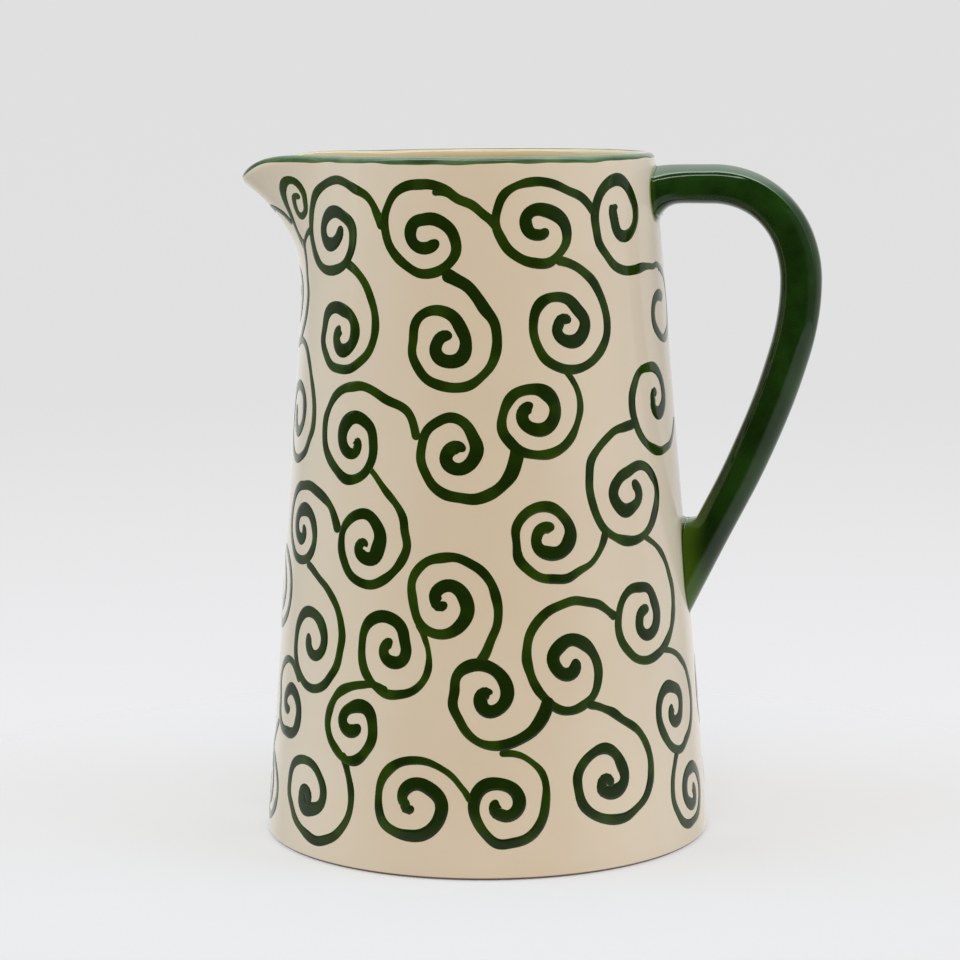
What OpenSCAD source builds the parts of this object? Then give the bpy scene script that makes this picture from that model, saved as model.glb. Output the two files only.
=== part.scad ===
// Glazed earthenware jug: a tapered wall on a set-in floor disc, a flared
// pouring lip let into the rim, and an arched handle luted on with slip.
// Origin at the centre of the foot, +Z up, handle towards +X, lip towards -X.

/* [Wall] */
// Height of the rim above the table
jug_height = 220; // [190:1:260]
// Diameter over the foot
foot_diameter = 145; // [125:1:165]
// Diameter over the rim, beside the lip
rim_diameter = 110; // [96:1:122]
// Thickness of the wall, square to its face
wall_thickness = 5; // [3.5:0.1:6.5]
// Radius of the sponged outer edge of the foot
foot_edge = 1.2; // [0.6:0.1:2]

/* [Floor] */
// Thickness of the floor disc
floor_thickness = 7; // [5:0.5:10]
// Height of the disc's underside above the table
floor_lift = 2.5; // [1.5:0.5:5]
// Radius of the clay coil pressed into the inside corner
corner_radius = 7; // [3:0.5:12]

/* [Pouring lip] */
// Depth of the lip below the rim, where it starts to leave the wall
lip_depth = 60; // [45:1:80]
// How far the middle of the lip's wall runs out past the jug's wall
lip_reach = 23.5; // [12:0.5:30]
// How far the tip of the lip hangs below the rim
lip_droop = 7; // [2:0.5:12]
// Half of the angle that the lip takes out of the rim
lip_half_angle = 41; // [30:1:50]
// Thickness of the clay at the tip of the lip, drawn thinner than the wall
lip_edge = 4; // [2.5:0.1:5]
// How late the lip turns outwards: higher is later and sharper
lip_flare = 3.1; // [2:0.1:3.6]
// How pointed the lip is, seen from above
lip_point = 1.15; // [1:0.05:2]

/* [Handle] */
// Depth of the handle's centreline below the rim at its upper root
handle_drop = 10; // [9.5:0.5:24]
// Straight run from the wall to the first bend
handle_run = 18; // [10:0.5:26]
// Radius of the shoulder, where the handle bends down
shoulder_radius = 27.5; // [22:0.5:34]
// Angle that the shoulder turns down; the crook turns the rest to plumb
shoulder_turn = 70; // [55:1:85]
// Radius of the crook below the shoulder
crook_radius = 36; // [28:1:60]
// Radius of the grip below the crook
grip_radius = 80; // [60:1:120]
// Angle that the grip turns in towards the wall
grip_turn = 16.5; // [8:0.5:20]
// Radius of the long lower leg
leg_radius = 280; // [150:5:320]
// Angle that the lower leg turns in towards the wall
leg_turn = 10; // [6:0.5:16]
// Thickness of the handle, from the palm to the fingers
handle_thickness = 13; // [10:0.1:16]
// Width across the handle at its upper root
handle_width_top = 18.5; // [13:0.5:22]
// Width across the handle at its lower root
handle_width_low = 14.5; // [10:0.5:20]

/* [Handle roots] */
// Reach of the clay that is spread onto the wall at the upper root
upper_spread = 13; // [8:0.5:18]
// How far the upper root swells on the palm side
upper_palm_growth = 0.3; // [0:0.1:1.5]
// How far the upper root swells on the finger side
upper_finger_growth = 6; // [2:0.5:8]
// How far the upper root swells on each flank
upper_flank_growth = 3.2; // [1:0.1:5]
// Reach of the clay that fills the crotch at the lower root
lower_spread = 26; // [18:0.5:32]
// How far the lower root swells on the finger side
lower_finger_growth = 30; // [20:1:36]
// How far the lower root swells on each flank
lower_flank_growth = 0.8; // [0:0.1:3]
// Thickness of the layer of slip that lutes the handle to the wall
slip_thickness = 0.5; // [0.3:0.1:1.2]
// How far the slip squeezes out round the handle's root
slip_bead = 0.5; // [0.3:0.1:1]

/* [Hidden] */
$fn = 160;

cream = [0.84, 0.77, 0.67];
bare_clay = [0.80, 0.70, 0.56];
leaf_green = [0.10, 0.24, 0.09];

// How far cutting tools run past what they cut
past = 10;

// The wall's outer face is a cone: its radius falls by taper for each unit of height
foot_r = foot_diameter / 2;
rim_r = rim_diameter / 2;
taper = (foot_r - rim_r) / jug_height;
lean = atan(taper);
wall_across = wall_thickness / cos(lean);

function outer_r(z) = foot_r - taper * z;
function inner_r(z) = outer_r(z) - wall_across;
function middle_r(z) = outer_r(z) - wall_across / 2;

// Rim: a half round as thick as the wall, centred on the wall's middle line
rim_round = wall_thickness / 2;
rim_centre_z = jug_height - rim_round;
rim_centre_r = middle_r(rim_centre_z);
rim_side = rim_round * [cos(lean), sin(lean)];

// Foot edge: a round that touches the table and the wall's outer face
foot_centre_r = outer_r(foot_edge) - foot_edge / cos(lean);
foot_side = foot_edge * [cos(lean), sin(lean)];

floor_top = floor_lift + floor_thickness;

// Tapered wall, with a notch in its rim for the pouring lip

module wall_profile() {
    rim_centre = [rim_centre_r, rim_centre_z];
    foot_centre = [foot_centre_r, foot_edge];
    polygon([
        [inner_r(0), 0],
        [foot_centre_r, 0],
        foot_centre,
        foot_centre + foot_side,
        rim_centre + rim_side,
        rim_centre - rim_side
    ]);
    translate(rim_centre) circle(r = rim_round);
    translate(foot_centre) circle(r = foot_edge);
}

module lip_notch() {
    inside_r = inner_r(jug_height) - past;
    rotate([0, 0, 180 - lip_half_angle])
        rotate_extrude(angle = 2 * lip_half_angle)
            translate([inside_r, lip_base_z])
                square([foot_r + past - inside_r, lip_depth + past]);
}

module wall() {
    color(cream) difference() {
        rotate_extrude() wall_profile();
        lip_notch();
    }
}

// Floor disc, set into the wall from below on its tapered edge
module floor_disc() {
    color(bare_clay)
        translate([0, 0, floor_lift])
            cylinder(h = floor_thickness, r1 = inner_r(floor_lift), r2 = inner_r(floor_top));
}

// Coil in the corner between the floor and the wall: a concave round
module corner_coil() {
    centre_z = floor_top + corner_radius;
    centre_r = inner_r(centre_z) - corner_radius / cos(lean);
    color(cream) rotate_extrude() difference() {
        polygon([
            [centre_r, floor_top],
            [inner_r(floor_top), floor_top],
            [centre_r, centre_z] + corner_radius * [cos(lean), sin(lean)],
            [centre_r, centre_z]
        ]);
        translate([centre_r, centre_z]) circle(r = corner_radius);
    }
}

// Solid through a row of closed sections with equally many points
module loft(sections) {
    count = len(sections[0]);
    last = len(sections) - 1;
    points = [for (section = sections) each section];
    sides = [for (i = [0 : last - 1]) for (j = [0 : count - 1])
        let (a = i * count + j, b = i * count + (j + 1) % count)
        each [[a, b, b + count], [a, b + count, a + count]]];
    ends = [
        [for (j = [count - 1 : -1 : 0]) j],
        [for (j = [0 : count - 1]) last * count + j]
    ];
    polyhedron(points, concat(sides, ends), convexity = 6);
}

// Pouring lip: the wall's own section, carried round the notch and flared outwards.
// u runs from -1 to 1 across the lip, s from 0 at its base to 1 at its edge.

lip_base_z = jug_height - lip_depth;
lip_stations = 44;
lip_rows = 16;
edge_steps = 8;
droop_power = 4.4;      // keeps the rim level until close to the tip

// Share of the full flare; flat at both sides, where the lip meets the wall
function lip_share(u) = pow((1 + cos(180 * u)) / 2, lip_point);
// Half of the clay's thickness
function lip_half(u, s) = (wall_thickness - (wall_thickness - lip_edge) * lip_share(u) * s) / 2;
// Height of the lip's middle surface from its base to the centre of its edge
function lip_rise(u) = lip_depth - lip_half(u, 1) - lip_droop * pow(lip_share(u), droop_power);
// Middle surface as [radius, height], and how far its radius moves for a unit of height
function lip_middle(u, s) =
    let (z = lip_base_z + s * lip_rise(u))
    [middle_r(z) + lip_reach * lip_share(u) * pow(s, lip_flare), z];
function lip_slope(u, s) =
    lip_reach * lip_share(u) * lip_flare * pow(s, lip_flare - 1) / lip_rise(u) - taper;
// Point on the section: half the thickness away from the middle, turned from the outer side
function lip_point_at(u, s, turn) =
    let (m = lip_slope(u, s), out = [1, -m] / sqrt(1 + m * m), up = [m, 1] / sqrt(1 + m * m))
    lip_middle(u, s) + lip_half(u, s) * (cos(turn) * out + sin(turn) * up);
function lip_section(u) = concat(
    [[outer_r(lip_base_z), lip_base_z]],
    [for (k = [1 : lip_rows]) lip_point_at(u, k / lip_rows, 0)],
    [for (k = [1 : edge_steps - 1]) lip_point_at(u, 1, 180 * k / edge_steps)],
    [for (k = [lip_rows : -1 : 1]) lip_point_at(u, k / lip_rows, 180)],
    [[inner_r(lip_base_z), lip_base_z]]
);

module pouring_lip() {
    color(cream) loft([for (i = [0 : lip_stations])
        let (u = 2 * i / lip_stations - 1, turn = 180 + u * lip_half_angle)
        [for (p = lip_section(u)) [p[0] * cos(turn), p[0] * sin(turn), p[1]]]]);
}

// Handle: a rounded section carried along a centreline of straight runs and arcs.
// A station is [x, z, heading, length so far]; heading 0 points out from the wall, 90 down.

handle_sides = 32;
bend_steps = [8, 12, 4, 5, 8, 16];   // stations on the run, shoulder, crook, grip, leg and lower run
palm_power = 2;                      // roundness of the palm side: 2 is an oval
finger_power = 2.6;                  // the finger side is a little squarer

// Swelling of the handle at each root: palm side, finger side, each flank
upper_growth = [upper_palm_growth, upper_finger_growth, upper_flank_growth];
lower_growth = [0, lower_finger_growth, lower_flank_growth];

function run_from(p, length) =
    [p[0] + length * cos(p[2]), p[1] - length * sin(p[2]), p[2], p[3] + length];
function bend_from(p, radius, turn) = [
    p[0] + radius * (sin(p[2] + turn) - sin(p[2])),
    p[1] + radius * (cos(p[2] + turn) - cos(p[2])),
    p[2] + turn,
    p[3] + radius * turn * PI / 180
];
// Length of a straight run from p to the wall's cone
function run_to_wall(p) = (outer_r(p[1]) - p[0]) / (cos(p[2]) - taper * sin(p[2]));
// How far the sweep runs on past the wall's face, so that its whole section gets inside
function bury(p) = (handle_thickness / 2 + slip_bead) / abs(tan(p[2] - 90 + lean)) + wall_thickness / 2;

handle_z = jug_height - handle_drop;
upper_root = [outer_r(handle_z), handle_z, 0, 0];
shoulder_start = run_from(upper_root, handle_run);
crook_start = bend_from(shoulder_start, shoulder_radius, shoulder_turn);
grip_start = bend_from(crook_start, crook_radius, 90 - shoulder_turn);
leg_start = bend_from(grip_start, grip_radius, grip_turn);
leg_end = bend_from(leg_start, leg_radius, leg_turn);
lower_root = run_from(leg_end, run_to_wall(leg_end));
handle_length = lower_root[3];
between_roots_z = (upper_root[1] + lower_root[1]) / 2;

function shares(steps) = [for (k = [1 : steps]) k / steps];

centreline = concat(
    [run_from(upper_root, -bury(upper_root))],
    [for (t = shares(bend_steps[0])) run_from(upper_root, t * (handle_run + bury(upper_root)) - bury(upper_root))],
    [for (t = shares(bend_steps[1])) bend_from(shoulder_start, shoulder_radius, t * shoulder_turn)],
    [for (t = shares(bend_steps[2])) bend_from(crook_start, crook_radius, t * (90 - shoulder_turn))],
    [for (t = shares(bend_steps[3])) bend_from(grip_start, grip_radius, t * grip_turn)],
    [for (t = shares(bend_steps[4])) bend_from(leg_start, leg_radius, t * leg_turn)],
    [for (t = shares(bend_steps[5])) run_from(leg_end, t * (run_to_wall(leg_end) + bury(lower_root)))]
);

// Share of a root's growth at a distance along the handle: none at reach, all at the wall
function growth_share(distance, reach) = pow(max(0, 1 - max(0, distance) / reach), 2);
// Sine or cosine bent into a rounder or squarer section
function squared(value, power) = sign(value) * pow(abs(value), 2 / power);

function handle_section(p, grow) =
    let (
        growth = growth_share(p[3], upper_spread) * upper_growth
            + growth_share(handle_length - p[3], lower_spread) * lower_growth,
        palm = handle_thickness / 2 + growth[0] + grow,
        fingers = handle_thickness / 2 + growth[1] + grow,
        along = p[3] / handle_length,
        flank = (handle_width_top * (1 - along) + handle_width_low * along) / 2 + growth[2] + grow
    )
    [for (k = [0 : handle_sides - 1])
        let (
            a = 360 * k / handle_sides,
            power = cos(a) > 0 ? palm_power : finger_power,
            c = squared(cos(a), power) * (cos(a) > 0 ? palm : fingers)
        )
        [p[0] + c * sin(p[2]), flank * squared(sin(a), power), p[1] + c * cos(p[2])]];

module handle_sweep(grow = 0) {
    loft([for (p = centreline) handle_section(p, grow)]);
}

// Solid cone inside the wall's outer face, pushed out by a distance square to it
module wall_cone(out = 0) {
    rise = out / cos(lean);
    translate([0, 0, -past])
        cylinder(
            h = jug_height + 2 * past,
            r1 = outer_r(-past) + rise,
            r2 = outer_r(jug_height + past) + rise
        );
}

module handle() {
    color(leaf_green) difference() {
        handle_sweep();
        wall_cone(slip_thickness);
    }
}

// Layer of slip between the wall and a root of the handle
module slip_joint(low_z, high_z) {
    color(leaf_green) intersection() {
        difference() {
            handle_sweep(slip_bead);
            wall_cone();
        }
        wall_cone(slip_thickness);
        translate([0, -foot_r, low_z]) cube([2 * foot_r, 2 * foot_r, high_z - low_z]);
    }
}

module upper_slip_joint() {
    slip_joint(between_roots_z, jug_height);
}

module lower_slip_joint() {
    slip_joint(0, between_roots_z);
}

wall();
floor_disc();
corner_coil();
pouring_lip();
handle();
upper_slip_joint();
lower_slip_joint();
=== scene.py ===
"""Looks of a glazed earthenware jug with a painted scroll pattern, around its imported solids.

Lengths of the jug are in millimetres and angles in degrees; put_mesh() turns lengths into metres.
An angle round the jug is 0 at the handle, 180 at the pouring lip and about -81 at the camera.
"""

import math

import bpy
import numpy as np
from mathutils import Matrix, Vector


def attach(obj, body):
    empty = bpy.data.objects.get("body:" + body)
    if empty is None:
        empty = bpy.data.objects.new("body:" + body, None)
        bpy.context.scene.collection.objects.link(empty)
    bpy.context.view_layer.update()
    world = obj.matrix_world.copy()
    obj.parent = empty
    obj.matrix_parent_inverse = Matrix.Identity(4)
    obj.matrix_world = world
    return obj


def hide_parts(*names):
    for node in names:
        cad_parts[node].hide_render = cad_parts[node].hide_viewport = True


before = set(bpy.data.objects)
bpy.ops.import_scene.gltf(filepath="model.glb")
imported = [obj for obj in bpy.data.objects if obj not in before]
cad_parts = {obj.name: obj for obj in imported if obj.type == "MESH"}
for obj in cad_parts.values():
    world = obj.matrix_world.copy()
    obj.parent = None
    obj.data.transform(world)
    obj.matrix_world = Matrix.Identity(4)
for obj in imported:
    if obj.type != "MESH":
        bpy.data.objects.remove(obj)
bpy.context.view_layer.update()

MM = 0.001

# Clay body, with the sizes of its solids
JUG_HEIGHT = 220.0
FOOT_RADIUS = 72.5
RIM_RADIUS = 55.0
WALL = 5.0
FOOT_EDGE = 1.2
FLOOR_LIFT = 2.5
FLOOR_TOP = 9.5
CORNER_RADIUS = 7.0
TAPER = (FOOT_RADIUS - RIM_RADIUS) / JUG_HEIGHT
LEAN = math.atan(TAPER)
WALL_ACROSS = WALL / math.cos(LEAN)
FACE_RISE = WALL / 2.0 * math.sin(LEAN)
# Turn round the foot's edge below which the clay is bare; its dark brown is partly a painted contact shadow
BARE_FROM = -15.0

# Rows of the body's mesh from the inside floor to the underside, and limits of some; the foot ring's
# inner edge, as distances outwards from its radius and heights; and steps round the jug in degrees
FLOOR_ROWS, COIL_ROWS, INNER_ROWS, LIP_ROWS = 10, 9, 22, 27
EDGE_ROWS, OUTER_ROWS, FOOT_ROWS, UNDER_ROWS = 15, 45, 8, 9
COIL_START, WALL_MARGIN, UNDER_MARGIN = -80.0, 4.0, 0.8
FOOT_RING = ((2.0, 0.0), (0.5, 0.0), (0.0, 0.4), (-0.2, FLOOR_LIFT - 0.5))
BODY_STEP, RIM_STEP, FLOOR_STEP = 1.0, 0.75, 5.0

# Pouring lip
LIP_BASE = 160.0
LIP_REACH = 23.5
LIP_DROOP = 6.2
LIP_HALF_ANGLE = 41.0
LIP_EDGE = 4.0
LIP_FLARE = 3.1
LIP_POINT = 1.15
DROOP_POWER = 4.4

# Painted rim: its reach outside, more of it on one side and less along the lip, its reach inside, and its
# points across, outside first
RIM_OUTSIDE, RIM_TILT, RIM_TILT_TURN = 3.2, 0.6, 1.75
RIM_AT_LIP, RIM_LIP_SPREAD = 1.6, 1.6
RIM_INSIDE, RIM_INSIDE_AT_LIP, RIM_INSIDE_WAVES = 0.7, 0.2, 0.5
RIM_LIFT, RIM_SINK = 0.05, 0.4
RIM_ACROSS = (-1.0, -0.95, -0.8, -0.6, -0.4, -0.2, 0.0, 0.2, 0.4, 0.6, 0.8, 0.95, 1.0)

# Handle: its centreline is straight runs and arcs, as (radius or None, length or turn)
HANDLE_HEIGHT = 210.0
HANDLE_PIECES = ((None, 18.0), (27.5, 70.0), (36.0, 20.0), (80.0, 16.5), (280.0, 10.0))
HANDLE_THICKNESS = 13.0
HANDLE_WIDTHS = (18.5, 14.5)
PALM_POWER, FINGER_POWER = 2.0, 3.2
WAY_BEFORE, WAY_PAST, WAY_POINTS = 40.0, 120.0, 8001
PAST_SHOULDER = 60.0
HANDLE_ROWS, HANDLE_STEP = 300, 6.0

# At shares of the handle's length: thickness as a share, and millimetres nearer to the wall
HANDLE_STOUTNESS = ((0.0, 0.94), (0.12, 0.96), (0.35, 1.02), (0.55, 1.015), (0.8, 0.96), (1.0, 0.96))
HANDLE_INWARD = ((0.0, 0.0), (0.6, 0.1), (1.0, 0.8))

# Roots: the length over which each grows, and its growth at the palm, the fingers and the flanks; then the
# slip in the corner over the lower one
UPPER_SPREAD, UPPER_DIP, UPPER_FLARE, UPPER_FLANK = 13.5, -0.5, 7.4, 5.0
LOWER_SPREAD, LOWER_FLANK = 26.0, 0.8
CORNER_START, CORNER_RUN, CORNER_FILL = 20.6, 5.3, 14.0

# Where the handle meets the wall: limits and steps of the search for it, depth of the handle's ends, the
# fillet of glaze, and the slower thickening of the glaze away from the lower root
ROOT_REACH, UPPER_DEEP, LOWER_DEEP, HALVINGS = 26.0, 30.0, 40.0, 40
ROOT_SINK = 1.5
ROOT_FILLET, FILLET_SINK, FILLET_BURY, FILLET_ROWS, FILLET_STEP = 0.9, 0.06, 1.2, 9, 4.0
LOWER_THIN = 0.2

# Brush strokes: widths, pressure of the hand, ends, wobble, and the layer of paint
STROKE_WIDTH = 3.0
INNER_END_WIDTH, INNER_LENGTH, INNER_EVEN = 3.9, 26.0, 0.4
SMALL_SCROLL, SMALL_END_WIDTH = 9.0, 2.2
TAIL_START, TAIL_FULL, TAIL_SWELL, TAIL_OVERRUN = 28.0, 8.0, 1.15, 2.0
PRESSED_WIDTH, PRESSED_INWARD = 1.0, 0.3
PRESSED_TURN, PRESSED_SPREAD = 280.0, 85.0
INNER_HOOK, TIGHT_HOOK, FULL_HOOK, HOOK_RADIUS = 1.5, 0.9, 110.0, 0.92
TURN_STEP, STROKE_STEP = 4.0, 0.8
TIP_STEPS, TIP_LENGTH = (0.0, 0.05, 0.18, 0.4, 0.7, 1.1), 1.6
SHAKE_STEP, SHAKE_ASIDE, SHAKE_WIDTH, SHAKE_EASE = 4.5, 0.17, 0.075, 6.0
BEND_ROOM = 0.85
EVEN_LOAD, SHAKE_LOAD, WIDTH_LOAD = 0.5, 0.22, 0.35
PAINT_LIFT, PAINT_SINK = 0.06, 0.12
LAYERS, LAYER_LIFT = 6, 0.004
LINK_POINTS = 40

# Section of a stroke, from its left edge over the top and back below: shares of half its width and of its
# lift; then least half width and bend
STROKE_ACROSS = (1.0, 0.94, 0.5, -0.5, -0.94, -1.0, -0.6, 0.6)
STROKE_ABOVE = (-0.05, 0.85, 1.0, 1.0, 0.85, -0.05) + (-PAINT_SINK / PAINT_LIFT,) * 2
LEAST_HALF, LEAST_BEND = 0.02, 1e-6

# Directions on the wall, seen from outside
COMPASS = {name: 45.0 * i for i, name in enumerate(("E", "NE", "N", "NW", "W", "SW", "S", "SE"))}

# Scrolls: row, eye (angle, height), hand, direction of the inner end, places (angle, height) that the tail
# passes, the tail's width, and radii at each eighth of a turn from the inner end
SCROLLS = (
    ("a", (-158.3, 206), "ccw", "N", ((-162.5, 196), (-158.2, 192)), 2.4,
     (1.9, 1.6, 1.4, 2.2, 4.6, 4.9, 4.3, 5.3, 7, 6.2, 6.2, 8.2)),
    ("a", (-138, 197), "cw", "E", ((-119.4, 206.8), (-115.5, 200)), 2.7,
     (4.8, 4.6, 4.4, 4.7, 5.2, 5.5, 6, 7.7, 11.2, 12.6, 12.4, 12.6, 13.3, 15.2, 15.6, 18)),
    ("a", (-100, 197), "cw", "SE", ((-83.7, 204.9), (-78.2, 200)), 2.7,
     (4.3, 4.4, 4.6, 4.7, 4.9, 4.7, 6.2, 9.4, 11.9, 12, 11.4, 13.3, 15.8, 15, 15.2)),
    ("a", (-65, 199), "cw", "SE", ((-45.3, 203.5),), 2.7,
     (2.9, 2.6, 2.9, 3.4, 4.3, 5.1, 6.6, 9.6, 11.3, 11.2, 10.9, 12.4, 13.8, 13.6, 15.2)),
    ("a", (-33, 203), "ccw", "W", ((-27, 184.4), (-20, 185), (-15, 185), (-10, 184.5), (-3, 181.5)), 2.0,
     (3.4, 4.3, 7.7, 8.5, 8.3, 8.2, 9.6, 10.2, 11.4, 13.8, 18.5)),
    ("b", (-170, 174), "ccw", "N", ((-156.8, 188), (-158.2, 192)), 2.2,
     (2.5, 3, 3.5, 4.4, 5.5, 7, 8.5, 9.5, 9.5, 10.5, 11, 12.5, 14, 16, 17.2)),
    ("b", (-130, 166), "ccw", "W", ((-128.4, 187.2),), 2.8,
     (1.5, 3.2, 5.1, 6, 6.4, 6.6, 7.4, 9.1, 9.6, 10.7, 11.3, 12.6, 14.3, 16.7)),
    ("b", (-93, 164), "ccw", "N", ((-92.3, 184.6),), 3.8,
     (2.2, 2.3, 2.6, 3.8, 5.3, 6.6, 6.6, 7.1, 9.2, 11.4, 10.6, 11.6, 13.1, 14.8, 15.7, 16.3)),
    ("b", (-57, 169), "ccw", "N", ((-57.5, 188.5),), 2.8,
     (1.6, 1.8, 1.9, 3.2, 4.7, 6.7, 7.4, 6.6, 8.3, 10.5, 10.2, 11.3, 13.4, 14.8, 15.8, 16.5)),
    ("b", (-8, 170), "ccw", "N", (), 2.0,
     (5, 7.5, 9.7, 8.8, 8.4, 9.2, 11, 12.6, 14.2)),
    ("c", (-156, 139), "ccw", "W", ((-153.5, 160.5), (-160, 161.5)), 2.4,
     (3.5, 4.8, 6.6, 6.4, 6.6, 7.7, 8.3, 9, 10, 12.5, 15, 14.9, 14.5, 15.6)),
    ("c", (-122, 133), "cw", "E", ((-104.2, 143.2), (-101.6, 136.5)), 2.7,
     (0.4, 1.6, 3.8, 4.8, 5.6, 6.6, 7.7, 7.7, 7.4, 9.4, 12, 12.4, 14.5, 16.3, 16.9, 18.4)),
    ("c", (-89, 131), "ccw", "N", ((-72.4, 131.5),), 4.8,
     (1.5, 2.3, 3.5, 4.6, 5.2, 5.2, 5.4, 6.8, 10.1, 11.8, 11.9, 12.5, 13.9, 16.2)),
    ("c", (-68, 143), "ccw", "NW", ((-57, 155),), 2.0,
     (1.9, 2.8, 3.9, 5.1, 6.8, 7.6, 7.7, 7.1, 8, 8.6, 11, 12.7, 14.6, 15.9)),
    ("c", (-21, 143), "ccw", "N", ((-3, 134),), 2.6,
     (2.4, 1.4, 0.9, 1.6, 3.1, 5.6, 8, 9.3, 10.7, 12.8, 13, 13.9, 15.7, 18.9)),
    ("d", (-146, 102), "cw", "E", ((-130.6, 111.4), (-127.7, 105.9)), 3.4,
     (1.5, 2, 2.6, 3.5, 5.1, 6.3, 7, 8.6, 9.3, 9.5, 9.1, 9.6, 11.6, 13.5, 14.8, 17.6)),
    ("d", (-117, 101), "ccw", "N", ((-111.5, 120), (-115.5, 124.5)), 2.0,
     (0.6, 0.9, 1.7, 2.6, 3.6, 5, 5.4, 7.9, 10, 10.3, 9.4, 10.2, 11.4, 12.6, 14.6, 17.2)),
    ("d", (-64, 105), "ccw", "N", ((-51.2, 96.2), (-46.5, 104.5)), 2.2,
     (2.7, 3.2, 3.6, 4.6, 5.3, 6.4, 7.3, 7.7, 9.3, 10.2, 10.4, 11.7, 13.4, 15.4)),
    ("d", (-36, 116), "cw", "NE", ((-34.5, 136.8),), 2.7,
     (3, 3.4, 4.2, 4.8, 6.5, 7.7, 7, 7.4, 10.5, 13.7, 14.5, 14.9, 15.3, 16.2, 19.3)),
    ("e", (-168, 81), "ccw", "W", (), 2.4,
     (3, 4.2, 6, 8.2, 10, 9.6, 9, 9.9, 11, 10.7, 11, 14.9, 18, 15.6, 11.5)),
    ("e", (-135, 69), "ccw", "W", ((-135, 89.4), (-140, 92)), 2.7,
     (3.6, 4.2, 4.8, 5, 5.3, 6.2, 8.1, 10.8, 12.5, 14.2, 15.1, 13.6, 12.8, 15.6)),
    ("e", (-107, 70), "ccw", "NW", ((-99.2, 77),), 1.8,
     (2.4, 2.9, 3.4, 3.9, 4.4, 4.7, 5.7, 9.7, 11.8, 11.3, 12.5, 13.9, 13.6, 11.7)),
    ("e", (-94, 86), "cw", "S", ((-82.8, 68),), 2.8,
     (1.5, 1.3, 1.3, 2.3, 3.8, 6.3, 8.5, 10, 10.4, 9.4, 8.7, 11.1, 12.8, 15.2, 17.8, 20.9)),
    ("e", (-81, 57), "ccw", "NW", ((-65.6, 54),), 4.0,
     (1, 2.3, 3.5, 4.7, 5.4, 6, 7, 9.2, 11.3, 11, 12.3, 15.3, 17.1)),
    ("e", (-60, 65), "cw", "E", ((-45.5, 79.3),), 2.6,
     (2.6, 2.7, 2.7, 2.9, 3.7, 5.8, 7.8, 8.9, 10.6, 12.8, 13.9, 11.8, 12, 16.2, 19.2)),
    ("e", (-33, 76), "ccw", "N", ((-25, 97), (-30, 101)), 2.0,
     (2.9, 3, 3.1, 4.1, 4.9, 5.5, 6.2, 7.5, 10.2, 12.3, 12.4, 12.7, 13, 13.8, 17.2, 20.5)),
    ("f", (-149, 46), "cw", "S", ((-143, 56),), 2.6,
     (1.6, 2, 2.6, 3.4, 4.4, 6.8, 9.2, 10.5, 9, 10.2, 9.6, 13.2, 13.8)),
    ("f", (-119, 46), "cw", "SE", ((-109.7, 57.5),), 2.6,
     (2.5, 2.7, 3.1, 3.6, 4.1, 5.1, 7.4, 8.3, 9.9, 12.1, 11.1, 10.2, 10.3, 11.2)),
    ("f", (-22, 45), "ccw", "W", ((-22.5, 64.1), (-26, 65)), 2.0,
     (1.8, 2.6, 3.5, 4.4, 5, 6.7, 7.9, 9.6, 9.7, 9.9, 12.8, 13.9, 15.5, 16.3)),
    ("g", (-167, 16), "ccw", "W", ((-167.5, 26.5),), 2.2,
     (4, 4.4, 5, 6.5, 8, 8.2, 8, 9, 10, 9.6, 10, 12.9, 16.3, 13)),
    ("g", (-136, 19), "ccw", "E", ((-121.2, 34.3),), 2.6,
     (2.1, 2.4, 2.4, 2.1, 1.6, 2.2, 3.2, 4.8, 9.1, 11, 11.7, 12, 10.1, 9.3, 10.8, 16.6, 21.6)),
    ("g", (-102, 23), "cw", "S", ((-88.4, 29.8), (-86.3, 26)), 2.0,
     (1.6, 0.8, 0.7, 2.2, 5.2, 8.3, 11.3, 11, 10.3, 10, 9.9, 11.3, 13.1, 16)),
    ("g", (-78, 23), "ccw", "W", ((-72.6, 38.3), (-76.8, 39.2)), 1.9,
     (1.9, 2.3, 2.5, 4.1, 5.6, 6.6, 7.1, 8.5, 8.7, 9.6, 11.3, 12.9, 13.5, 16.2)),
    ("g", (-50, 27), "ccw", "NE", ((-45.3, 47.6), (-53, 52)), 2.6,
     (1.6, 1.7, 1.6, 1.5, 2.2, 2.6, 4.2, 7.1, 8.7, 11.1, 10.9, 9.9, 9.9, 10.9, 14.3, 19, 20.4)),
    ("g", (-14, 17), "cw", "E", ((-22, 31.5),), 2.4,
     (1.6, 2.8, 4.4, 5.2, 6.4, 7.3, 7.9, 8.1, 8.7, 8.9, 9.9, 12.1, 14.3, 16.6)),
)

# Eyes of the scrolls that are not repeated on the side away from the camera
NOT_REPEATED = ((-158.3, 206), (-33, 203), (-170, 174), (-8, 170), (-168, 81), (-167, 16))

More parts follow.
